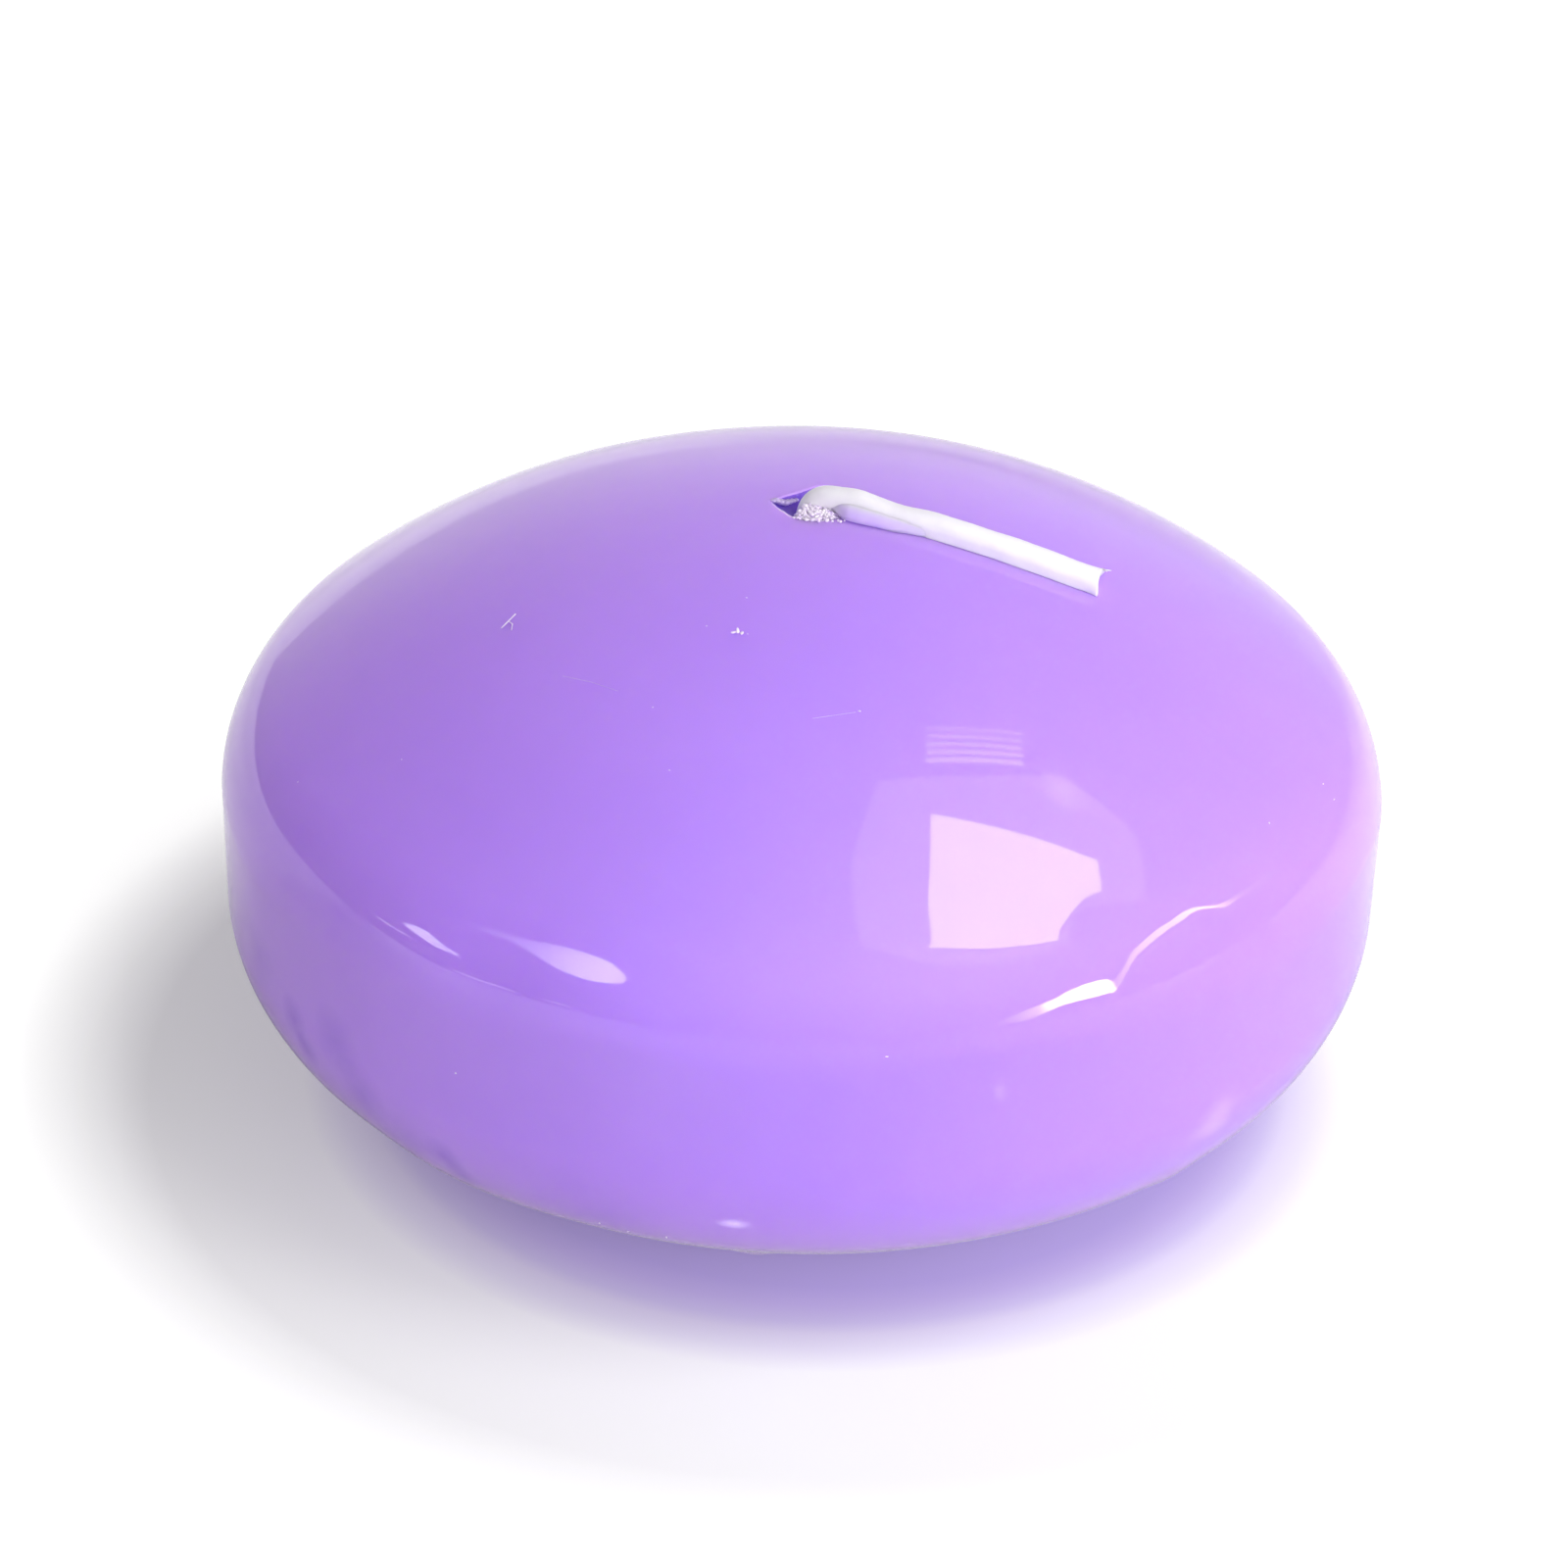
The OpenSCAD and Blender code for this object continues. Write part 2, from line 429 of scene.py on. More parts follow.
# The wick: braided cotton stiffened with wax. It stands in its hole through the body, bends over
# in the well and lies along the dome, pressed a little into the soft skin, with a square-cut tip.
wick_r, wick_foot_z = 0.85 * MM, 0.5 * MM
wick_bend_r, wick_clear = 1.6 * MM, -0.36 * MM
wick_curl_r, wick_rest_l, wick_heading = 42.4 * MM, 17.8 * MM, math.radians(-22.9)
wick_sides = 56
lie_r = dome_r + wick_clear + wick_r
bend_end = math.asin(wick_bend_r / (lie_r - wick_bend_r))
bend_z = dome_z + math.sqrt(lie_r**2 - 2 * lie_r * wick_bend_r)

braid = bmesh.new()
first = bmesh.ops.create_circle(braid, segments=wick_sides, radius=wick_r, cap_ends=False)["verts"]
bmesh.ops.translate(braid, verts=first, vec=(0, 0, wick_foot_z))
ring_edges = braid.edges[:]
rings = [(0.0, first)]


def grow(length, move):
    """Draws the wick on by one ring, which the given move brings to its place."""
    global ring_edges
    made = bmesh.ops.extrude_edge_only(braid, edges=ring_edges)["geom"]
    verts = [g for g in made if isinstance(g, bmesh.types.BMVert)]
    ring_edges = [g for g in made if isinstance(g, bmesh.types.BMEdge)]
    ring_edges = [e for e in ring_edges if all(v in verts for v in e.verts)]
    move(verts)
    rings.append((rings[-1][0] + length, verts))


def rotate_about(centre, axis, angle):
    """A move that turns a ring about an axis through a centre."""
    def move(verts):
        bmesh.ops.rotate(braid, verts=verts, cent=centre, matrix=Matrix.Rotation(angle, 3, axis))
    return move


def rise(height):
    """A move that lifts a ring."""
    def move(verts):
        bmesh.ops.translate(braid, verts=verts, vec=(0, 0, height))
    return move


stem_steps, bend_steps, rest_steps = 12, 30, 150
stem_step = (bend_z - wick_foot_z) / stem_steps
for i in range(stem_steps):
    grow(stem_step, rise(stem_step))
bend_angle = math.pi / 2 + bend_end
for i in range(bend_steps):
    grow(
        wick_bend_r * bend_angle / bend_steps,
        rotate_about((wick_bend_r, 0, bend_z), Vector((0, 1, 0)), bend_angle / bend_steps),
    )
# The lying length turns about an axis that leans sideways through the centre of the dome
dome_centre = Vector((0, 0, dome_z))
curl_lean = math.acos(wick_curl_r / lie_r)
curl_axis = (
    Matrix.Rotation(bend_end, 3, "Y") @ Matrix.Rotation(curl_lean, 3, "X") @ Vector((0, 1, 0))
)
rest_angle = wick_rest_l / wick_curl_r
for i in range(rest_steps):
    grow(wick_rest_l / rest_steps, rotate_about(dome_centre, curl_axis, rest_angle / rest_steps))
bmesh.ops.rotate(
    braid, verts=braid.verts[:], cent=(0, 0, 0), matrix=Matrix.Rotation(wick_heading, 3, "Z")
)
ring_centres = [sum((v.co for v in verts), Vector()) / wick_sides for _, verts in rings]


def ring_frame(i):
    """The way along the wick at a ring, and the way down to the dome from it."""
    ahead = ring_centres[min(i + 1, len(rings) - 1)] - ring_centres[max(i - 1, 0)]
    ahead.normalize()
    down = dome_centre - ring_centres[i]
    down = (down - ahead * down.dot(ahead)).normalized()
    return ahead, down


def swelling(i, angle):
    """The wick's uneven round, as a share of its radius, by angle from straight down: old dents, the
    plait under the wax, and the way its top has humped and then sunk beyond the bend."""
    past_bend = (rings[i][0] - stem_length) / MM
    if past_bend <= 0:
        return 0.0
    t = rings[i][0] / MM
    dent = 0.018 * math.sin(1.1 * t + 2 * angle) + 0.012 * math.sin(2.3 * t - 3 * angle + 1)
    plait = 0.006 * math.sin(3 * angle + 5.2 * t) * math.sin(3 * angle - 5.2 * t)
    humped = 0.17 * bump(past_bend, 4.3, 1.2) - 0.13 * bump(past_bend, 7.0, 1.4)
    return dent + plait + humped * max(0, -math.cos(angle))


stem_length = bend_z - wick_foot_z
full_length = rings[-1][0]
# The wax holds the wick up to its widest line, from a little past the bend to the flared tip: below
# that line its sides go straight down into the skin
skin_drop, foot_sink = wick_r + wick_clear, 0.12 * MM
held_from, held_blend, flare_length = 3.0, 3.0, 1.1 * MM
for i, (length, verts) in enumerate(rings):
    ahead, down = ring_frame(i)
    side = ahead.cross(down)
    past_bend = (length - stem_length) / MM
    end_share = max(0, 1 - (full_length - length) / flare_length)
    held = min(1, max(0, (past_bend - held_from) / held_blend)) * (1 - end_share)
    for vert in verts:
        spoke = vert.co - ring_centres[i]
        angle = math.atan2(spoke.dot(side), spoke.dot(down))
        share = swelling(i, angle)
        # The cut end has spread a little, most at its upper and lower corners
        corner = abs(math.cos(angle + math.radians(61))) ** 3
        share += (0.04 + 0.12 * corner) * end_share**3
        below = math.cos(angle)
        if below > 0.01:
            straight_down = 1 / math.sqrt(1 - below**2 + 1e-6)
            share += (min(straight_down, (skin_drop + foot_sink) / wick_r / below) - 1) * held
        vert.co += spoke * share
        vert.co += ahead * (0.34 * corner - 0.12) * end_share**2 * MM

tip_face = bmesh.ops.contextual_create(braid, geom=ring_edges)["faces"]
tip_ring = [vert.co.copy() for vert in rings[-1][1]]
bmesh.ops.inset_region(braid, faces=tip_face, thickness=0.2 * MM, depth=-0.16 * MM)
bmesh.ops.inset_region(braid, faces=tip_face, thickness=0.3 * MM, depth=-0.12 * MM)
bmesh.ops.contextual_create(
    braid, geom=[e for e in braid.edges if e.is_boundary and all(v in first for v in e.verts)]
)
bmesh.ops.recalc_face_normals(braid, faces=braid.faces[:])


def wick_finish():
    """Cotton stiffened with wax: nearly white, a little uneven, with faint fibres."""
    f = Finish(bpy.data.materials.new("waxed_cotton"))
    place = f.node("ShaderNodeTexCoord", output=3)
    blotch = f.node("ShaderNodeTexNoise", None, {"Vector": place, "Scale": 700.0, "Detail": 3.0})
    fibre = f.node("ShaderNodeTexNoise", None, {"Vector": place, "Scale": 5200.0, "Detail": 3.0})
    relief = f.node(
        "ShaderNodeBump", None, {"Strength": 0.5, "Distance": 0.00004, "Height": blotch + fibre * 0.4}
    )
    return f.surface(f.node(
        "ShaderNodeBsdfPrincipled", None,
        {
            "Base Color": f.mix(blotch, (0.74, 0.71, 0.79, 1), (0.83, 0.81, 0.84, 1)),
            "Roughness": 0.42 + blotch * 0.2,
            "Normal": relief,
            "Subsurface Weight": 0.5,
            "Subsurface Radius": (1.0, 0.95, 1.0),
            "Subsurface Scale": 0.0006,
        },
    ))


waxed_cotton = wick_finish()
dress("wick_cord", braid, waxed_cotton, "wick_cotton", "wick")

# The tuft: a few cut threads of the cotton that stand out of the tip's upper corner, where the
# scissors pulled them.
tuft = bmesh.new()
tip_ahead, tip_down = ring_frame(len(rings) - 1)
top_corner = max(tip_ring, key=lambda co: (co - ring_centres[-1]).dot(tip_ahead * 0.5 - tip_down))
# Each thread: how far it leans up and sideways, and its length in millimetres
for lean, sideways, length in (
    (0.25, 0.1, 0.62), (0.05, 0.25, 0.5), (0.45, -0.1, 0.45), (-0.15, 0.0, 0.4),
):
    way = (tip_ahead - tip_down * lean + tip_ahead.cross(tip_down) * sideways).normalized()
    middle = top_corner + tip_down * 0.05 * MM + way * (length / 2 - 0.12) * MM
    bmesh.ops.create_cone(
        tuft, cap_ends=True, segments=6, radius1=0.07 * MM, radius2=0.02 * MM, depth=length * MM,
        matrix=Matrix.Translation(middle) @ way.to_track_quat("Z", "Y").to_matrix().to_4x4(),
    )
dress("wick_tuft", tuft, waxed_cotton, "wick_cotton")

# The swollen root: under the bend the cotton has spread and soaked up wax, so no light shows
# between the wick and its well.
heading = Vector((math.cos(wick_heading), math.sin(wick_heading), 0))
draw = random.Random(7)


def lump(source, centre, size, detail, roughness):
    """Adds a rounded lump with an uneven surface, lying along the wick's heading."""
    turnabout = Matrix.Rotation(wick_heading, 4, "Z")
    verts = bmesh.ops.create_icosphere(
        source, subdivisions=detail, radius=1,
        matrix=Matrix.Translation(centre) @ turnabout @ Matrix.Diagonal((*size, 1)),
    )["verts"]
    for vert in verts:
        vert.co = centre + (vert.co - centre) * draw.uniform(1 - roughness, 1 + roughness)


root = bmesh.new()
lump(root, heading * 1.75 * MM + Vector((0, 0, 39.4 * MM)), (1.5 * MM, 1.02 * MM, 0.9 * MM), 4, 0.012)
lump(root, heading * 0.8 * MM + Vector((0, 0, 39.2 * MM)), (1.1 * MM, 1.1 * MM, 1.3 * MM), 4, 0.02)
dress("wick_root", root, waxed_cotton, "wick_cotton")

# The wax film: the last dip crept up the wick's sides out of the well and set as a thin pale skin
# that joins it to the dome.
fillet_sides, film_sink = 48, 0.06 * MM
# Over how many steps the skin closes in on the wick at its ends, and whitens towards the far end
end_steps, whitening_steps = 16, 30


def fillet(name, start, end, steps, width, attach, material):
    """A closed skin under the wick. Its width on the dome and the angle at which it leaves the wick,
    measured from straight down, go by how far along the skin they are, from 0 to 1, and by side."""
    skin_mesh = bmesh.new()
    white = skin_mesh.verts.layers.float.new("white")
    edges, opening = None, None
    for step in range(steps):
        part = step / (steps - 1)
        length = start + (end - start) * part
        i = min(range(len(rings)), key=lambda k: abs(rings[k][0] - length))
        ahead, down = ring_frame(i)
        side = ahead.cross(down)
        if step == 0:
            verts = bmesh.ops.create_circle(skin_mesh, segments=fillet_sides, radius=wick_r)["verts"]
            opening, edges = verts, skin_mesh.edges[:]
        else:
            made = bmesh.ops.extrude_edge_only(skin_mesh, edges=edges)["geom"]
            verts = [g for g in made if isinstance(g, bmesh.types.BMVert)]
            edges = [g for g in made if isinstance(g, bmesh.types.BMEdge)]
            edges = [e for e in edges if all(v in verts for v in e.verts)]
        for n, vert in enumerate(verts):
            angle = turned(360 * n / fillet_sides, 0)
            off, near_side = abs(angle), angle < 0
            meets = math.degrees(math.atan(width(part, near_side) * MM / skin_drop))
            leaves = attach(part, near_side)
            ends = min(1, (step + 1) / end_steps, (steps - step) / end_steps)
            fade = max(1 - ends, 1 - (steps - step) / whitening_steps)
            vert[white] = max(fade, min(1, max(0, (off - meets) / (leaves - meets))) ** 2)
            if off <= meets:
                reach = (skin_drop + film_sink) / math.cos(math.radians(off))
            elif off <= leaves:
                outer = (skin_drop + film_sink) / math.cos(math.radians(meets))
                inner = wick_r * (1 + swelling(i, math.radians(angle))) + 0.004 * MM
                reach = inner + (outer - inner) * ((leaves - off) / (leaves - meets)) ** 1.5
            else:
                reach = wick_r * (1 + swelling(i, math.radians(angle)))
                reach -= 0.12 * MM * min(1, (off - leaves) / 10)
            reach = wick_r * 0.7 + (reach - wick_r * 0.7) * ends * ends * (3 - 2 * ends)
            a = math.radians(angle)
            vert.co = ring_centres[i] + (down * math.cos(a) + side * math.sin(a)) * reach
    bmesh.ops.contextual_create(skin_mesh, geom=edges)
    closing = [e for e in skin_mesh.edges if e.is_boundary and all(v in opening for v in e.verts)]
    bmesh.ops.contextual_create(skin_mesh, geom=closing)
    bmesh.ops.recalc_face_normals(skin_mesh, faces=skin_mesh.faces[:])
    dress(name, skin_mesh, material, "wax")


def film_width(part, near_side):
    """How far the film reaches across the dome from the wick's line, in millimetres."""
    return 0.86 + (0.62 if near_side else 0.3) * math.sin(math.pi * min(1, part * 1.25) ** 0.7) ** 1.2


def film_attach(part, near_side):
    """The angle from straight down, in degrees, at which the film leaves the wick."""
    return (118 if near_side else 95) - (30 if near_side else 22) * part**2


def film_finish():
    """Thin wax: lilac at its foot, and as white as the wick where it meets it."""
    f = Finish(bpy.data.materials.new("thin_wax"))
    place = f.node("ShaderNodeTexCoord", output=3)
    mottle = f.node("ShaderNodeTexNoise", None, {"Vector": place, "Scale": 900.0, "Detail": 2.0})
    white = f.node("ShaderNodeAttribute", {"attribute_name": "white"}, output=2)
    relief = f.node("ShaderNodeBump", None, {"Strength": 0.6, "Distance": 0.00004, "Height": mottle})
    body = f.mix(mottle, (0.48, 0.32, 0.88, 1), (0.58, 0.42, 0.93, 1))
    return f.surface(f.node(
        "ShaderNodeBsdfPrincipled", None,
        {
            "Base Color": f.mix(white, body, (0.79, 0.76, 0.82, 1)),
            "Roughness": 0.38 + mottle * 0.1,
            "Normal": relief,
            "Subsurface Weight": 0.7,
            "Subsurface Radius": (1.0, 0.85, 1.0),
            "Subsurface Scale": 0.0012,
            "Coat Weight": 0.5,
            "Coat Roughness": 0.1,
        },
    ))


thin_wax = film_finish()
film_start, film_end, film_steps = stem_length + 2.1 * MM, stem_length + 10.6 * MM, 59
fillet("wax_film", film_start, film_end, film_steps, film_width, film_attach, thin_wax)

# Frayed wax at the root: when the wick was bent over, the wax round it cracked, and its crumbs
# fill the near side of the well.
crumbs = bmesh.new()
lump(crumbs, Vector((0.35 * MM, -1.7 * MM, 39.5 * MM)), (1.3 * MM, 0.85 * MM, 0.42 * MM), 4, 0.12)
wax_tree = BVHTree.FromObject(wax_shell, bpy.context.evaluated_depsgraph_get())


def on_wax(x, y):
    """The point of the wax straight below a place, and the way the surface faces there."""
    hit, facing, _, _ = wax_tree.ray_cast(Vector((x, y, 0.1)), Vector((0, 0, -1)))
    return hit, facing


def crumb(source, place, size, detail=1, stretch=(1, 1, 1)):
    """Adds one uneven crumb."""
    axis = Vector((draw.uniform(-1, 1), draw.uniform(-1, 1), 0.5))
    turnabout = Matrix.Rotation(draw.uniform(0, 2 * math.pi), 4, axis)
    scale = Matrix.Diagonal((*(size * f * draw.uniform(0.7, 1.3) for f in stretch), 1))
    verts = bmesh.ops.create_icosphere(
        source, subdivisions=detail, radius=1, matrix=Matrix.Translation(place) @ turnabout @ scale
    )["verts"]
    for vert in verts:
        vert.co = place + (vert.co - place) * draw.uniform(0.75, 1.2)


pile_foot, pile_top, root_front = 2.75 * MM, 40.2 * MM, 0.95 * MM
for _ in range(420):
    angle = math.radians(draw.uniform(-112, -36))
    reach = draw.uniform(root_front, pile_foot)
    place = Vector((math.cos(angle) * reach, math.sin(angle) * reach, 0))
    floor_point, _ = on_wax(place.x, place.y)
    filled = pile_top - 0.25 * MM * (reach - root_front) / (pile_foot - root_front)
    place.z = draw.uniform(max(floor_point.z, filled - 0.3 * MM), max(floor_point.z, filled))
    crumb(crumbs, place, draw.uniform(0.07, 0.17) * MM)
# A few have been thrown out over the rim
for x, y, size in (
    (0.62, -2.85, 0.15), (0.45, -2.75, 0.10), (1.12, -2.8, 0.15), (1.22, -2.7, 0.12), (2.0, -2.8, 0.13),
    (1.85, -2.7, 0.10), (0.1, -2.5, 0.09), (1.5, -2.8, 0.08), (-0.35, -2.3, 0.07), (2.25, -2.6, 0.07),
):
    place, facing = on_wax(x * MM, y * MM)
    crumb(crumbs, place + facing * size * 0.3 * MM, size * MM)


def crumb_finish():
    """Opaque crushed wax: whitish where it has cracked, lilac where it hasn't."""
    f = Finish(bpy.data.materials.new("crushed_wax"))
    place = f.node("ShaderNodeTexCoord", output=3)
    speckle = f.node("ShaderNodeTexNoise", None, {"Vector": place, "Scale": 1500.0, "Detail": 2.0})
    mask = f.node(
        "ShaderNodeValToRGB",
        {"stops": ((0.35, (0.76, 0.60, 0.95, 1)), (0.6, (0.90, 0.80, 0.96, 1)))}, {"Fac": speckle},
    )
    relief = f.node("ShaderNodeBump", None, {"Strength": 0.6, "Distance": 0.00003, "Height": speckle})
    return f.surface(f.node(
        "ShaderNodeBsdfPrincipled", None,
        {
            "Base Color": mask,
            "Roughness": 0.45 + speckle * 0.2,
            "Normal": relief,
            "Subsurface Weight": 0.4,
            "Subsurface Radius": (1.0, 0.95, 1.0),
            "Subsurface Scale": 0.0003,
        },
    ))


crushed_wax = crumb_finish()
dress("root_crumbs", crumbs, crushed_wax, "wax")

# The tongue: a scrap of the lilac dip that has folded into the pointed end of the well, with a
# little more of it under the bend. Each lump sits where the photograph's view meets the wax.
aim = Vector((-1.18, 0, 19.27)) * MM
elevation, distance, roll = math.radians(29.187), 263.81 * MM, math.radians(1.366)
picture_size, lens_length, film_size = 1600, 91.2, 36.0
back = Vector((0, -math.cos(elevation), math.sin(elevation)))
level_right = Vector((1, 0, 0))
level_up = back.cross(level_right)
camera_right = level_right * math.cos(roll) + level_up * math.sin(roll)
camera_up = level_up * math.cos(roll) - level_right * math.sin(roll)
camera_place = aim + back * distance


def seen_at(across, down):
    """The point of the wax at a place in the picture, and the way the surface faces there."""
    per_pixel = film_size / lens_length / picture_size
    ray = camera_right * (across - picture_size / 2) * per_pixel
    ray -= camera_up * (down - picture_size / 2) * per_pixel + back
    hit, facing, _, _ = wax_tree.ray_cast(camera_place, ray.normalized())
    return hit, facing


tongue, tongue_lift = bmesh.new(), 0.06 * MM
# Each lump: where it is in the picture, and its size in millimetres
for x, y, size in (
    (789, 511, 0.18), (792, 511, 0.24), (796, 512, 0.28), (800, 513, 0.28), (804, 512, 0.24),
    (808, 511, 0.20), (812, 510, 0.15), (853, 524, 0.28), (858, 527, 0.3), (863, 529, 0.24),
):
    place, facing = seen_at(x, y)
    sizes = (size * 1.3 * MM, size * MM, size * 0.7 * MM)
    lump(tongue, place + facing * tongue_lift, sizes, 3, 0.05)
dress("well_tongue", tongue, thin_wax, "wax")

# Specks and hairs: dust, lint and scraps of wax that stuck to the skin as it set, with fine
# scratches and a few crumbs along the lower edge.
shortest_bit = 0.01 * MM


def fibre(source, places, thickness):
    """Adds one thin hair that lies on the wax through places in the picture."""
    last = None
    for (x0, y0), (x1, y1) in zip(places, places[1:]):
        for t in (0.0, 0.34, 0.67, 1.0):
            hit, facing = seen_at(x0 + (x1 - x0) * t, y0 + (y1 - y0) * t)
            here = hit + facing * thickness * 0.5
            if last is not None and (here - last).length > shortest_bit:
                turnabout = (here - last).to_track_quat("Z", "Y").to_matrix().to_4x4()
                middle = Matrix.Translation((here + last) / 2) @ turnabout
                bmesh.ops.create_cone(
                    source, cap_ends=True, segments=6, radius1=thickness, radius2=thickness,
                    depth=(here - last).length * 1.15, matrix=middle,
                )
            last = here


specks = bmesh.new()
# Each speck: where it is in the picture, and its radius in millimetres
for x, y, size in (
    (749, 645, 0.20), (753, 645, 0.22), (757, 646, 0.14), (763, 647, 0.05), (721, 639, 0.05),
    (762, 610, 0.05), (666, 722, 0.05), (905, 1078, 0.09), (465, 1095, 0.08), (410, 775, 0.05),
    (304, 798, 0.06), (1350, 800, 0.07), (1361, 816, 0.08), (1295, 840, 0.06), (641, 1256, 0.10),
    (680, 1262, 0.08), (612, 1248, 0.06), (877, 726, 0.09), (683, 786, 0.06),
):
    place, facing = seen_at(x, y)
    crumb(specks, place, size * MM, detail=2, stretch=(1, 0.8, 0.4))
# A forked hair, then two scratches
fibre(specks, ((512, 641), (519, 634), (526, 627)), 0.045 * MM)
fibre(specks, ((519, 634), (523, 637), (522, 643)), 0.035 * MM)
fibre(specks, ((575, 690), (603, 696), (630, 705)), 0.008 * MM)
fibre(specks, ((830, 733), (872, 727)), 0.011 * MM)
dress("specks", specks, crushed_wax, "wax")

# The setting: a white sheet on a table, lit by a window above and to the right, with a bright
# room round it.
floor_half = 2.0
sheet = bmesh.new()
bmesh.ops.create_grid(sheet, x_segments=1, y_segments=1, size=floor_half)
floor_mesh = bpy.data.meshes.new("floor")
sheet.to_mesh(floor_mesh)
sheet.free()
floor = bpy.data.objects.new("floor", floor_mesh)
bpy.context.scene.collection.objects.link(floor)
f = Finish(bpy.data.materials.new("white_sheet"))
to_camera = f.node("ShaderNodeLightPath")
in_gloss = f.node("ShaderNodeLightPath", output=3)
sheet_place = f.node("ShaderNodeTexCoord", output=3)
sheet_x = f.node("ShaderNodeSeparateXYZ", None, {"Vector": sheet_place})
sheet_y = f.node("ShaderNodeSeparateXYZ", None, {"Vector": sheet_place}, output=1)
foot_centre = (0.002, -0.003, 0)
from_foot = f.distance(sheet_place, foot_centre)
# What the wax mirrors of the sheet: a glow painted on it for glossy rays only, a painted reflection
# that is brighter far behind the candle, on the left above all, before the candle and close behind it,
# and a little under it
behind = f.clamped(sheet_y, 1 / 0.15, -0.05 / 0.15)
leftward = f.clamped(sheet_x, -5.0, 0.5)
before = f.clamped(sheet_y, -10.0, -0.2)
close_behind = f.clamped(sheet_y, 40.0, 0.0) * f.clamped(sheet_y, -12.0, 2.0)
under = f.clamped(from_foot, -40.0, 2.0)
painted_gloss_glow = behind * (leftward * 0.50 + 0.10) + before + close_behind * 0.42 + under * 0.12
# Painted glowing spots on the sheet, seen only in the gloss, which the underside mirrors as painted
# highlights: each one's place on the sheet, its radius and its strength
for x, y, radius, strength in (
    (-0.0045, -0.0386, 0.0015, 5.0), (0.0355, -0.0242, 0.0036, 1.2), (0.0400, -0.0252, 0.0036, 1.4),
    (0.0445, -0.0258, 0.0032, 1.4), (0.0307, -0.0584, 0.0016, 2.4), (-0.0230, -0.0669, 0.0140, 0.5),
):
    painted_gloss_glow += f.clamped(f.distance(sheet_place, (x, y, 0)), -1 / radius, 1.0) * strength
glow = f.node("ShaderNodeEmission", None, {"Color": grey(1.0), "Strength": painted_gloss_glow})
matt = f.node("ShaderNodeBsdfDiffuse", None, {"Color": grey(0.58)})
mirrored_paper = f.node("ShaderNodeAddShader", None, {0: matt, 1: glow})
# What lights the wax
paper = f.node("ShaderNodeBsdfDiffuse", None, {"Color": grey(0.47)})
# What the camera sees: a painted shadow round the foot, tinted violet as if by light passed through the
# wax, and the sheet is brighter than it is to the wax, as in a picture exposed for the candle
painted_shadow_tint = f.node(
    "ShaderNodeValToRGB",
    {"stops": (
        (0.45, (0.62, 0.52, 0.88, 1)), (0.52, (0.68, 0.58, 0.90, 1)), (0.58, (0.75, 0.68, 0.92, 1)),
        (0.62, (0.86, 0.81, 0.95, 1)), (0.68, (0.90, 0.87, 0.96, 1)), (0.76, (1, 1, 0.98, 1)),
    )},
    {"Fac": (from_foot - 0.014) / 0.028},
)
# painted shadow edge: the sheet is painted lighter beyond it and towards the front, and painted darker
# to the left within it
outer = f.clamped(from_foot, 100.0, -4.55)
painted_lift_front = f.clamped(from_foot, 250.0, -7.8) * f.clamped(sheet_x, 20.0, 1.0)
exposure_and_painted_shade = outer * 0.32 + painted_lift_front * 0.10 + (1.0 - outer) * sheet_x * 1.8 + 0.30
shaded = f.node("ShaderNodeBsdfDiffuse", None, {"Color": f.mix(1.0, painted_shadow_tint, grey(0.6), "MULTIPLY")})
glow = f.node("ShaderNodeEmission", None, {"Color": painted_shadow_tint, "Strength": exposure_and_painted_shade})
bright_paper = f.node("ShaderNodeAddShader", None, {0: shaded, 1: glow})
indirect = f.node("ShaderNodeMixShader", None, {0: in_gloss, 1: paper, 2: mirrored_paper})
floor_mesh.materials.append(
    f.surface(f.node("ShaderNodeMixShader", None, {0: to_camera, 1: indirect, 2: bright_paper}))
)


def lamp(name, source, light, gloss, level=None):
    """Makes a bright pane, clear to the camera and to what lies behind it, from how strongly it lights
    the candle and how strongly it shows in the gloss. Its brightness may vary over its points."""
    mesh = bpy.data.meshes.new(name)
    source.to_mesh(mesh)
    source.free()
    pane = bpy.data.objects.new(name, mesh)
    bpy.context.scene.collection.objects.link(pane)
    f = Finish(bpy.data.materials.new(name))
    seen = f.node("ShaderNodeLightPath")
    colour = level(f) if level else (1, 1, 1, 1)
    strength = f.node("ShaderNodeLightPath", output=3) * (gloss - light) + light
    glow = f.node("ShaderNodeEmission", None, {"Color": colour, "Strength": strength})
    clear = f.node("ShaderNodeBsdfTransparent")
    shown = f.node("ShaderNodeAddShader", None, {0: glow, 1: clear})
    mesh.materials.append(f.surface(f.node("ShaderNodeMixShader", None, {0: seen, 1: shown, 2: clear})))


window_z = 0.62
window_outline = (
    (0.175, 0.008), (0.245, 0.015), (0.336, 0.025), (0.445, 0.035), (0.469, -0.012), (0.434, -0.034),
    (0.414, -0.068), (0.448, -0.159), (0.516, -0.251), (0.428, -0.263), (0.331, -0.277),
    (0.200, -0.256), (0.181, -0.142), (0.181, -0.087),
)
pane = bmesh.new()
pane.faces.new([pane.verts.new((x, y, window_z)) for x, y in window_outline])
lamp("window", pane, 6.1, 8.0)


def glow_level(f):
    """The brightness that a lamp's points carry."""
    return f.node("ShaderNodeAttribute", {"attribute_name": "level"}, output=0)


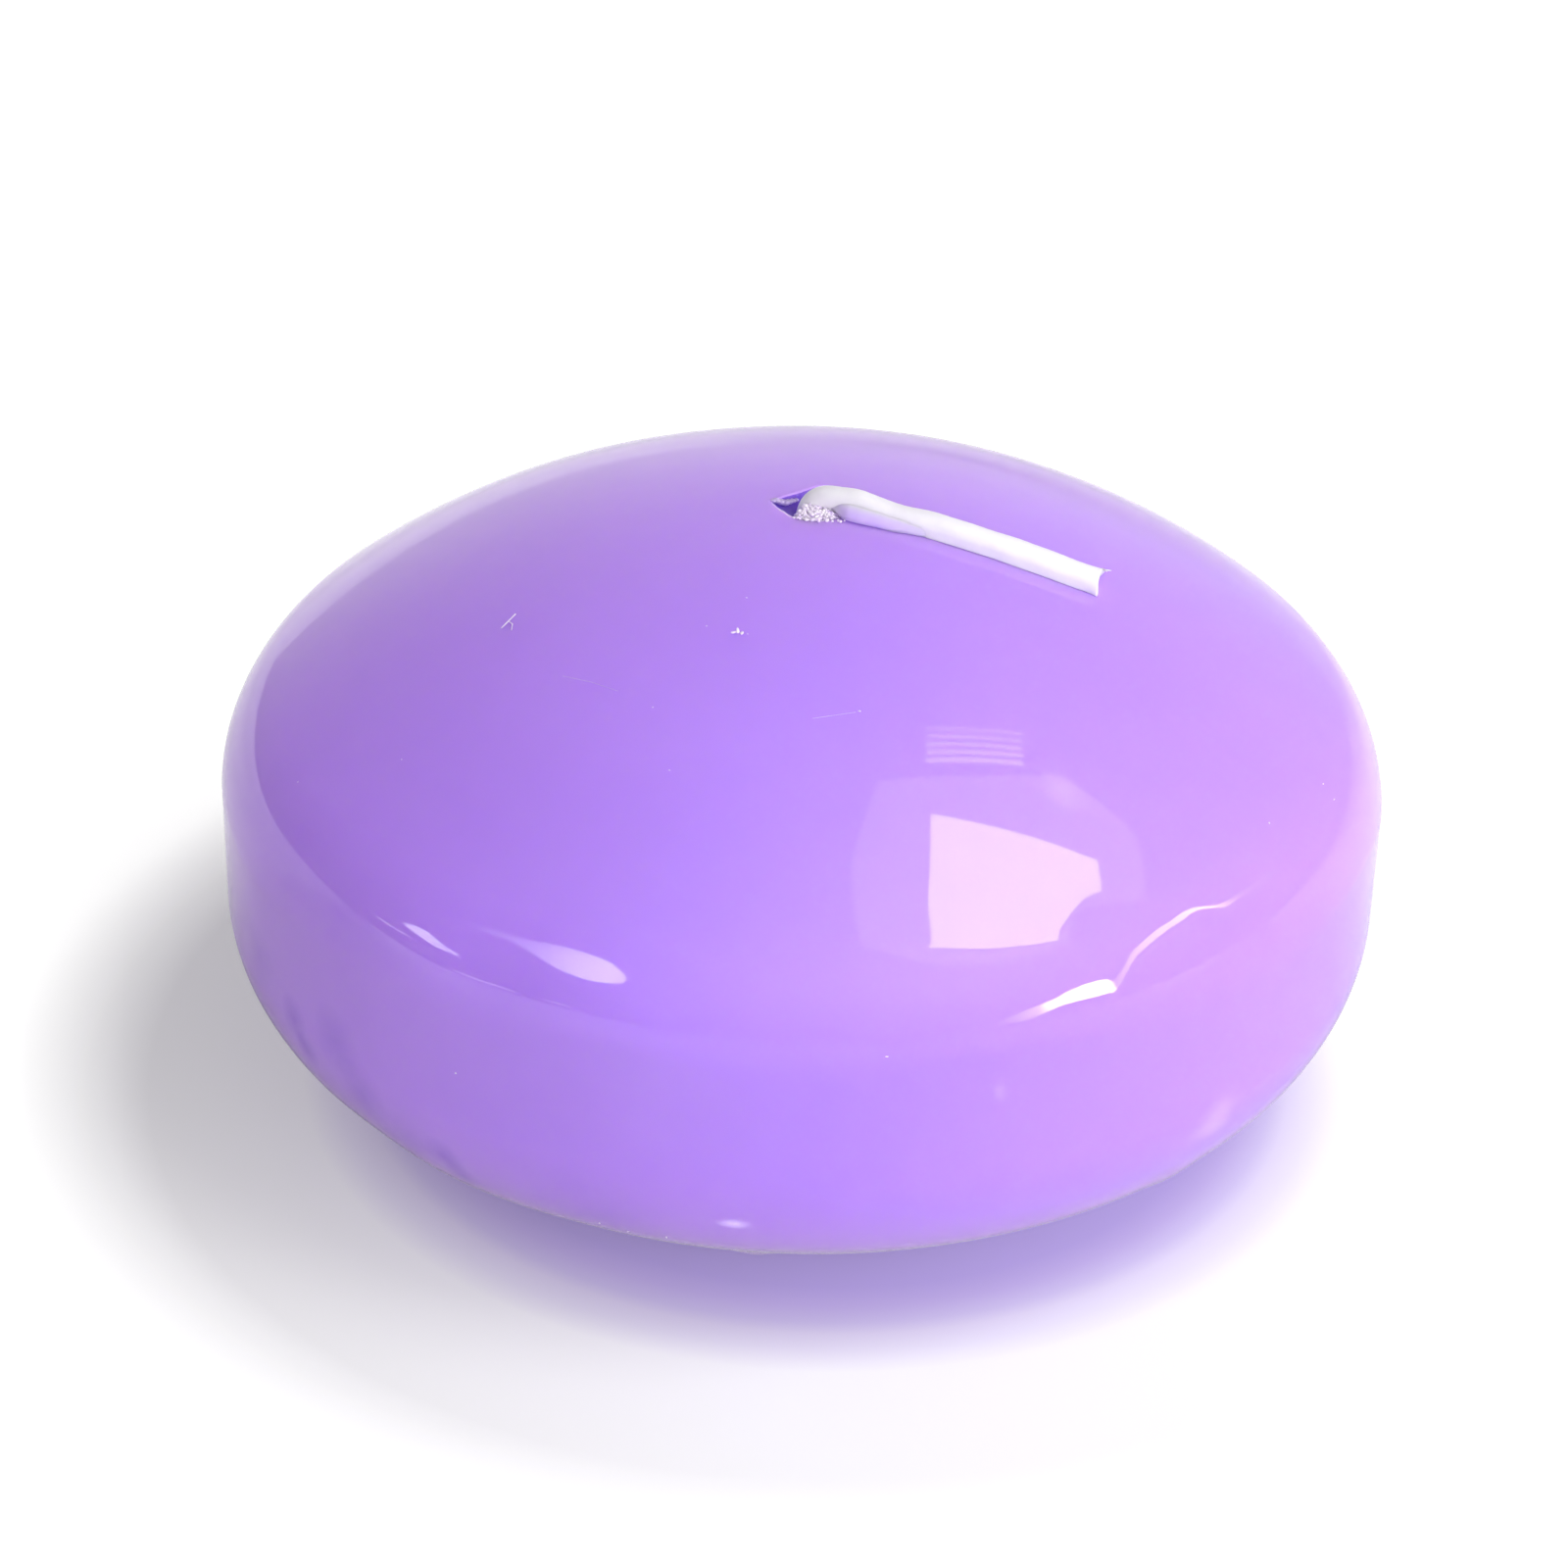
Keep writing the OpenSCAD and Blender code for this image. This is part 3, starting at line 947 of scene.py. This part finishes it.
# The veil: round the window the wall and the curtain are softly bright
veil_outline = (
    (0.10, 0.05), (0.24, 0.10), (0.37, 0.17), (0.52, 0.13), (0.62, -0.01), (0.46, -0.045),
    (0.43, -0.07), (0.60, -0.30), (0.50, -0.44), (0.25, -0.44), (0.09, -0.24), (0.07, -0.09),
)
veil = bmesh.new()
level = veil.verts.layers.float.new("level")
face = veil.faces.new([veil.verts.new((x, y, window_z + 0.01)) for x, y in veil_outline])
bmesh.ops.inset_region(veil, faces=[face], thickness=0.06)
for vert in face.verts:
    vert[level] = 1.0
lamp("veil", veil, 0.0, 1.3, glow_level)

# The blind: its slats beside the window show as faint stripes
blind_left, blind_right = ((0.1655, 0.1765), (0.168, 0.0977)), ((0.3069, 0.2345), (0.3117, 0.1546))
slats = 10
blind = bmesh.new()
level = blind.verts.layers.float.new("level")
columns = [
    [
        blind.verts.new((x0 + (x1 - x0) * k / slats, y0 + (y1 - y0) * k / slats, window_z + 0.02))
        for k in range(slats + 1)
    ]
    for (x0, y0), (x1, y1) in (blind_left, blind_right)
]
for column in columns:
    for k, vert in enumerate(column):
        vert[level] = (k % 2) * (0.4 + 0.6 * k / slats)
bmesh.ops.bridge_loops(
    blind, edges=[blind.edges.new(pair) for column in columns for pair in zip(column, column[1:])]
)
lamp("blind", blind, 0.0, 5.0, glow_level)

# The spot: a small soft light above the window
spot = bmesh.new()
level = spot.verts.layers.float.new("level")
made = bmesh.ops.create_circle(spot, segments=16, radius=0.05, cap_ends=True, cap_tris=True)["verts"]
for vert in made:
    vert[level] = 1.0 if vert.co.length < 0.01 else 0.0
bmesh.ops.translate(spot, verts=made, vec=(0.375, 0.14, window_z + 0.015))
lamp("spot", spot, 0.0, 2.5, glow_level)

# The ribbons: strip lights and bright edges round the room, which show only in the gloss. They stand
# about the candle's middle, far from it, and none reaches below the horizon.
lamp_distance, lamp_origin = 10.0, Vector((0, 0, 25 * MM))
lowest_elevation, apart = 0.3, 0.0001


def ribbon(name, soft, columns):
    """A lamp that stands round the candle, from columns of azimuth, lowest and highest elevation, and
    brightness, which fades out over a few degrees above and below."""
    source, rail, last = bmesh.new(), None, None
    level = source.verts.layers.float.new("level")
    for azimuth, low, high, bright in columns:
        a = math.radians(azimuth)
        ends = [(low - soft, 0.0), (low, bright), (high, bright), (high + soft, 0.0)]
        places = [
            Vector((math.cos(a), math.sin(a), math.tan(math.radians(max(lowest_elevation, e)))))
            for e, _ in ends
        ]
        if rail is None:
            verts = [source.verts.new(place) for place in places]
            rail = [source.edges.new(pair) for pair in zip(verts, verts[1:])]
        else:
            made = bmesh.ops.extrude_edge_only(source, edges=rail)["geom"]
            verts = [g for g in made if isinstance(g, bmesh.types.BMVert)]
            verts.sort(key=lambda v: v.co.z)
            rail = [g for g in made if isinstance(g, bmesh.types.BMEdge)]
            rail = [e for e in rail if all(v in verts for v in e.verts)]
        for k, (vert, place) in enumerate(zip(verts, places)):
            vert.co = place + Vector((0, 0, k * apart))
            vert[level] = ends[k][1]
    for vert in source.verts:
        vert.co = lamp_origin + vert.co * lamp_distance
    lamp(name, source, 0.0, 1.0, glow_level)


ribbon("lamp_right", 0.3, (
    (-57, 0.5, 1.2, 0.5), (-52, 0.6, 5.5, 2), (-47.3, 0.8, 9, 5), (-44.5, 3, 10, 8),
    (-43.2, 4, 10.5, 20), (-39.9, 6, 12, 26), (-36, 6, 15, 28), (-32.5, 5.2, 15.7, 28),
    (-29.3, 4.5, 14.7, 28), (-28, 4, 13, 24),
    (-27.3, 5.8, 11, 4), (-24.3, 12.3, 15.1, 5), (-21.8, 16.8, 19.5, 6), (-19.2, 20.4, 23.3, 7),
    (-16.1, 22.1, 25, 8), (-13, 23.7, 26.6, 9.5), (-9.9, 24.4, 27.3, 10.5), (-7.2, 24.2, 27.1, 11),
    (-4.5, 24.8, 27.5, 13), (-2.7, 24, 26.5, 15), (-1.6, 20.7, 23, 15), (-0.5, 17.5, 20, 9),
    (1.5, 16.7, 19.2, 2.5), (3.6, 16.2, 18.7, 1.5), (6.8, 15.2, 17.4, 0.9), (14, 12, 13, 0),
))
ribbon("lamp_left", 0.4, (
    (-170.5, 12.4, 13.2, 0), (-169, 12.2, 14, 7), (-165.6, 11.7, 16.1, 8.5), (-161, 11.5, 17, 9),
    (-155, 10.4, 14.2, 8), (-150.2, 10.9, 12, 6), (-149.2, 11, 11.6, 0),
))
ribbon("lamp_left_thin", 0.15, (
    (-178.5, 5.0, 5.8, 0), (-176.5, 5.1, 5.9, 3), (-172, 5.7, 6.5, 4), (-167, 6.7, 7.5, 3),
    (-165, 7, 7.6, 0),
))
ribbon("lamp_left_high", 1.6, (
    (-155.5, 30.3, 31.5, 0), (-153, 30.5, 33, 2.5), (-149.5, 29, 37.5, 4), (-146, 27.5, 40, 5.5),
    (-141, 26, 41.5, 7.5), (-135, 25.6, 41.5, 9.5), (-130, 26, 40, 10), (-126, 27.5, 36.5, 10),
    (-123.2, 29.5, 33, 8), (-122.2, 31, 32, 0),
))
ribbon("lamp_left_faint", 0.2, (
    (-150.5, 0.5, 1, 0), (-149, 0.45, 1.1, 4), (-147.3, 0.45, 1.1, 4), (-146, 0.5, 1.0, 0),
    (-141, 1.7, 2.1, 0), (-138.6, 1.7, 2.3, 4), (-134, 1.4, 2.0, 4), (-132, 1.4, 1.8, 0),
))

# The room: soft bright sides, and plain white to the camera. Each side has its azimuth, its
# elevation, its strength and how narrow it is. The gloss shows a darker room than the one that
# lights the wax.
world = bpy.data.worlds.new("room")
bpy.context.scene.world = world
f = Finish(world)
direction = f.node("ShaderNodeTexCoord", output=0)
to_camera = f.node("ShaderNodeLightPath")
in_gloss = f.node("ShaderNodeLightPath", output=3)
room_light = (
    (-120, 5, 0.98, 6), (-90, 5, 1.30, 6), (-60, 5, 1.95, 6), (-30, 5, 2.90, 6), (0, 5, 1.15, 6),
    (60, 5, 0.70, 6), (90, 5, 1.25, 6), (120, 5, 0.80, 6), (150, 5, 1.15, 6), (-30, 45, 0.62, 4),
)
room_gloss = (
    (0, 90, 0.42, 4), (-120, 5, 0.22, 6), (-90, 5, 0.51, 6), (-60, 5, 0.53, 6), (60, 5, 0.09, 6),
    (90, 5, 0.66, 6), (120, 5, 0.32, 6), (-90, 45, 1.25, 4), (-30, 45, 2.10, 4), (30, 45, 0.08, 4),
)


def room(sides):
    """The brightness of a room whose soft bright sides are given."""
    level = 0.0
    for azimuth, height, strength, narrow in sides:
        a, e = math.radians(azimuth), math.radians(height)
        toward = Vector((math.cos(a) * math.cos(e), math.sin(a) * math.cos(e), math.sin(e)))
        facing = f.node(
            "ShaderNodeVectorMath", {"operation": "DOT_PRODUCT"}, {0: direction, 1: toward}, output=1
        )
        toward_side = f.node("ShaderNodeMath", {"operation": "MAXIMUM"}, {0: facing, 1: 0.0})
        level = toward_side**narrow * strength + level
    return level


level = room(room_light) * (1.0 - in_gloss) + room(room_gloss) * in_gloss
level = level * (1.0 - to_camera) + to_camera
f.node(
    "ShaderNodeOutputWorld", None,
    {"Surface": f.node("ShaderNodeBackground", None, {"Color": (1, 1, 1, 1), "Strength": level})},
)

# The camera: it looks down on the candle from the front, as the photograph's does, and is turned
# by a degree or so as that was.
lens = bpy.data.cameras.new("camera")
lens.lens, lens.sensor_width = lens_length, film_size
lens.clip_start, lens.clip_end = 0.01, 20.0
camera = bpy.data.objects.new("camera", lens)
camera.matrix_world = Matrix.Translation(camera_place) @ Matrix(
    (camera_right, camera_up, back)
).transposed().to_4x4()
bpy.context.scene.collection.objects.link(camera)
bpy.context.scene.camera = camera
bpy.context.scene.view_settings.view_transform = "Standard"
